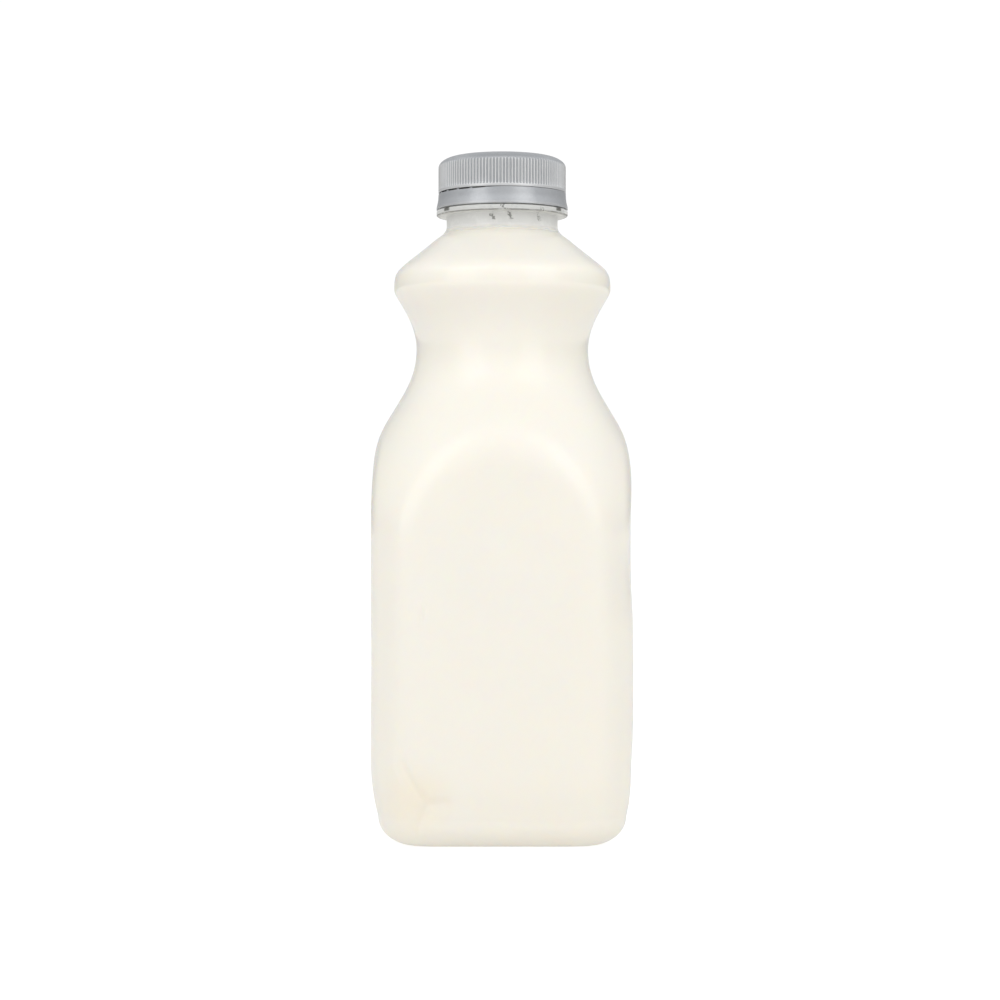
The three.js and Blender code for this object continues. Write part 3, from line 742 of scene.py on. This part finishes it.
# ---------------------------------------------------------------- Sealing disc
# A punched disc of soft white foam pressed into the top of the cap. The bottle's rim prints a
# shallow ring into its underside.

disc_low, disc_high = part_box("cap_liner")
DISC_RADIUS = 19.0 * MM
PRINT_DEPTH = 0.18 * MM


def sealing_disc():
    """Rings of a flat disc with rounded edges. The underside rises by PRINT_DEPTH times
    exp(-(distance from the middle of the rim / 1.1 mm)^4)."""
    angle = np.linspace(0, 2 * np.pi, 160, endpoint=False)
    under = np.linspace(1 * MM, DISC_RADIUS - 0.4 * MM, 44)
    print_at = (FINISH_RADIUS + BORE_RADIUS) / 2
    pressed = PRINT_DEPTH * np.exp(-(((under - print_at) / (1.1 * MM)) ** 4))
    lower = np.stack([under, disc_low.z + pressed], axis=1)
    edge = softened([lower[-1], (DISC_RADIUS, disc_low.z), (DISC_RADIUS, disc_high.z),
                     (DISC_RADIUS - 1 * MM, disc_high.z)], 0.3 * MM, 4)[1:]
    over = np.linspace(DISC_RADIUS - 1.5 * MM, 1 * MM, 12)
    upper = np.stack([over, np.full_like(over, disc_high.z)], axis=1)
    line = np.vstack([lower, edge, upper])
    return piece_mesh("sealing_disc", [spun(line[:, :1], line[:, 1:], angle)])


def soft_foam():
    """Closed-cell foam: small rounded cells, a little yellowed, with a dull skin."""
    finish = Finish("soft_foam")
    place = finish.place()
    cells = finish.node("TexVoronoi", (), {"Vector": place, "Scale": 1800})
    stains = finish.noise(150, 3, 0.5, place)
    colour = finish.tint(finish.ramp(stains, 0.4, 0.7), (0.86, 0.86, 0.84, 1), (0.80, 0.79, 0.74, 1))
    colour = finish.tint(0.3 * finish.ramp(cells, 0.2, 0.6), colour, (0.70, 0.69, 0.66, 1))
    foam = finish.plastic(
        Base_Color=colour,
        Roughness=0.7 + 0.2 * cells,
        Normal=finish.bump(cells, 0.0001, 0.5),
    )
    return finish.done(foam)


disc = sealing_disc()
settle(disc, soft_foam(), "cap_seal", "cap_liner")


# ---------------------------------------------------------------- Tear band
# The silver band torn from the cap's lower edge when the bottle was opened. It stays on the neck,
# flared at its foot, with the stubs of its bridges on top and folded flaps inside that catch
# under the bead. Where it tore cleanly it stands nearer to the cap.

BAND_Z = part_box("tamper_band")[0].z
BAND_TOP = 208.3 * MM
BAND_BORE = 19.6 * MM
BAND_RADIUS = 20.75 * MM
FLARE = 0.65 * MM
FLARE_HEIGHT = 2.8 * MM
TORN_RISE = 0.4 * MM  # how much higher the torn edge stands on the closer side
TORN_SIDE = -20  # degrees
BRIDGE_COUNT = 24
BRIDGE_START = -89
FLAP_COUNT = 12
FLAP_TOP = 206.0 * MM
FLAP_TIP = 18.35 * MM
FLAP_THICKNESS = 0.45 * MM
FLAP_SLOT = 1.6 * MM


def band_ring():
    """The band's section carried round. Its torn top rises by TORN_RISE, eased in as
    0.3 + 2 cos(angle from the closer side) goes from 0 to 1, with a fine ragged edge."""
    angle = np.linspace(0, 2 * np.pi, 480, endpoint=False)
    foot = BAND_RADIUS + FLARE
    line = softened(
        [(foot - 0.4 * MM, BAND_Z), (foot, BAND_Z), (foot, BAND_Z + 0.25 * FLARE_HEIGHT),
         (BAND_RADIUS + 0.12 * MM, BAND_Z + FLARE_HEIGHT), (BAND_RADIUS, BAND_TOP),
         (BAND_BORE, BAND_TOP), (BAND_BORE, BAND_Z), (foot - 0.5 * MM, BAND_Z)],
        np.array([0.18, 0.5, 0.9, 0.16, 0.12, 0.15]) * MM, 5)
    radius, height = line[:, :1], line[:, 1:]
    closer = eased(0.3 + 2 * np.cos(angle - np.radians(TORN_SIDE)))
    ragged = 0.03 * MM * (np.sin(47 * angle) + np.sin(83 * angle + 1) + np.sin(131 * angle + 2)) / 3
    top_share = eased((height - (BAND_TOP - 1.2 * MM)) / (1.2 * MM))
    return spun(radius, height + top_share * (TORN_RISE * closer + ragged), angle)


def squared_off(value):
    """A sine or cosine raised to the power 0.35, with its sign kept."""
    return np.sign(value) * np.abs(value) ** 0.35


def rounded_blocks(centre, half, turns, points=16, rings=9):
    """Small blocks with rounded edges, one at each turn: directions on a ball, each sine and
    cosine squared off, stretched to the half sizes, moved to the centre and turned about the
    axis."""
    round_to = np.linspace(0, 2 * np.pi, points, endpoint=False)[None, :]
    up_to = np.linspace(-0.49 * np.pi, 0.49 * np.pi, rings)[:, None]
    level = squared_off(np.cos(up_to))
    shape = np.stack(np.broadcast_arrays(
        centre[0] + half[0] * level * squared_off(np.cos(round_to)),
        centre[1] + half[1] * level * squared_off(np.sin(round_to)),
        centre[2] + half[2] * squared_off(np.sin(up_to)) * np.ones_like(round_to)), axis=-1)
    return [turned_about(shape, turn) for turn in np.radians(turns)]


def turned_about(points, turn):
    """The points turned about the Z axis."""
    across, along, up = np.moveaxis(points, -1, 0)
    return np.stack([across * np.cos(turn) - along * np.sin(turn),
                     across * np.sin(turn) + along * np.cos(turn), up], axis=-1)


def folded_flaps():
    """Twelve flaps: a slanting strip from the band's foot up and in to under the bead, each a
    closed loop of section carried over its share of the turn and closed at both ends."""
    flap = np.radians(360 / FLAP_COUNT)
    slot = FLAP_SLOT / BAND_BORE
    section = softened(
        [(BAND_BORE - FLAP_THICKNESS / 2, BAND_Z), (BAND_BORE + 0.05 * MM, BAND_Z),
         (BAND_BORE + 0.05 * MM, BAND_Z + 2 * FLAP_THICKNESS),
         (FLAP_TIP + FLAP_THICKNESS, FLAP_TOP), (FLAP_TIP, FLAP_TOP),
         (BAND_BORE - FLAP_THICKNESS, BAND_Z + 0.1 * MM), (BAND_BORE - FLAP_THICKNESS / 2, BAND_Z)],
        0.08 * MM, 3)[:-1]
    over = np.linspace(slot / 2, flap - slot / 2, 16)
    strips = spun(section[None, ::-1, 0], section[None, ::-1, 1], over[:, None])
    return [turned_about(strips, k * flap) for k in range(FLAP_COUNT)]


def torn_band():
    """The ring, and one mesh of its bridge stubs and flaps."""
    bridges = rounded_blocks(
        (BAND_RADIUS - 0.45 * MM, 0, BAND_TOP), (0.3 * MM, 0.5 * MM, 0.35 * MM),
        BRIDGE_START + np.arange(BRIDGE_COUNT) * 360 / BRIDGE_COUNT)
    ring = piece_mesh("torn_band", [band_ring()], ring_shaped=True)
    small = piece_mesh("band_flaps", bridges + folded_flaps())
    return ring, small


band, band_flaps = torn_band()
band_silver = silver_plastic("gloss_silver", 0.24, 0.02132, 0.0216, BAND_Z)
settle(band, band_silver, "band", "tamper_band")
settle(band_flaps, band_silver, "band", "tamper_band")


# ---------------------------------------------------------------- Studio
# A white floor that runs out of sight, a pale studio that is brightest behind and high up, and two
# soft boxes in front of the bottle, one either side, above it.

FLOOR_REACH = 40  # metres, out of sight
FLOOR_SEEN = 0.72  # glow of the floor as it is seen
FLOOR_FELT = 0.44  # and as it lights the bottle from below
LAMP_BEARING = 42  # degrees
LAMP_POWER = 0.82  # watts
LAMP_SIZE = (0.46, 0.7)
LAMP_HEIGHT = 0.45
LAMP_DISTANCE = 0.72
LAMP_AIM = 0.15


def studio_floor():
    """A flat grid of 8 by 8 squares."""
    side = np.linspace(-FLOOR_REACH, FLOOR_REACH, 9)
    across, along = np.meshgrid(side, side, indexing="xy")
    points = np.stack([across, along + 1, np.zeros_like(across)], axis=-1).reshape(-1, 3)
    here = np.arange(across.size).reshape(across.shape)
    faces = np.stack([here[:-1, :-1], here[:-1, 1:], here[1:, 1:], here[1:, :-1]], axis=-1)
    mesh = bpy.data.meshes.new("studio_floor")
    mesh.from_pydata(points.tolist(), [], faces.reshape(-1, 4).tolist())
    floor = bpy.data.objects.new("studio_floor", mesh)
    bpy.context.scene.collection.objects.link(floor)
    finish = Finish("white_floor")
    mottle = finish.noise(3, 3, 0.5)
    card = finish.plastic(
        Base_Color=finish.tint(mottle, (0.50, 0.50, 0.50, 1), (0.47, 0.47, 0.47, 1)),
        Roughness=0.75,
        Specular_IOR_Level=0.2,
    )
    seen = finish.node("Emission", (), {"Color": (1, 1, 1, 1), "Strength": FLOOR_SEEN})
    felt = finish.node("Emission", (), {"Color": (1, 0.99, 0.97, 1), "Strength": FLOOR_FELT})
    straight = finish.path_is("Camera", "Transmission")
    glow = finish.node("MixShader", (), {0: straight, 1: felt, 2: seen})
    floor.data.materials.append(finish.done(finish.node("AddShader", (), {0: card, 1: glow})))


def studio_air():
    """World light by direction: an even low level, a little more from the camera's side, bright
    straight behind the bottle and high up, and dim again right overhead. What is seen straight
    on or through the plastic is plain white."""
    world = bpy.data.worlds.new("studio_air")
    bpy.context.scene.world = world
    air = Finish("studio_air", world)
    way = air.node("TexCoord", output="Generated")
    back = air.node("SeparateXYZ", (), {0: way}, 1)
    up = air.node("SeparateXYZ", (), {0: way}, 2)
    high = air.ramp(up, 0.0, 0.55) - 0.75 * air.ramp(up, 0.72, 0.98)
    level = 0.27 + 0.15 * air.ramp(back, 0.0, -1.0) + 0.45 * air.ramp(back, 0.90, 0.99)
    level = level + high * air.ramp(back, 1.35, 0.05)
    seen = air.path_is("Camera", "Transmission")
    shade = air.node("Background", (), {"Color": (0.97, 0.985, 1, 1), "Strength": level})
    white = air.node("Background", (), {"Color": (1, 1, 1, 1), "Strength": 1.03})
    air.done(air.node("MixShader", (), {0: seen, 1: shade, 2: white}), "World")


def soft_box(name, bearing):
    """A rectangular lamp at a bearing in degrees from the camera's side, aimed at the shoulder."""
    lamp = bpy.data.lights.new(name, "AREA")
    lamp.shape = "RECTANGLE"
    lamp.size, lamp.size_y = LAMP_SIZE
    lamp.energy = LAMP_POWER
    box = bpy.data.objects.new(name, lamp)
    bpy.context.scene.collection.objects.link(box)
    turn = np.radians(bearing)
    aim = np.arctan2(LAMP_HEIGHT - LAMP_AIM, LAMP_DISTANCE)
    box.location = (LAMP_DISTANCE * np.sin(turn), -LAMP_DISTANCE * np.cos(turn), LAMP_HEIGHT)
    box.rotation_euler = (np.pi / 2 - aim, 0, turn)
    box.visible_camera = False


studio_floor()
studio_air()
soft_box("left_box", -LAMP_BEARING)
soft_box("right_box", LAMP_BEARING)

CAMERA_PLACE = (-0.0007, -0.815, 0.1089)  # straight in front, at half the bottle's height
camera_data = bpy.data.cameras.new("camera")
camera_data.lens = 90
camera_data.sensor_width = 36
camera = bpy.data.objects.new("camera", camera_data)
bpy.context.scene.collection.objects.link(camera)
camera.location = CAMERA_PLACE
camera.rotation_euler = (np.pi / 2, 0, 0)
bpy.context.scene.camera = camera
cycles = bpy.context.scene.cycles
cycles.max_bounces = 20
cycles.transmission_bounces = 20
cycles.glossy_bounces = 8
cycles.transparent_max_bounces = 16
cycles.sample_clamp_indirect = 1.5
cycles.caustics_reflective = False
cycles.caustics_refractive = False
bpy.context.scene.view_settings.view_transform = "Standard"
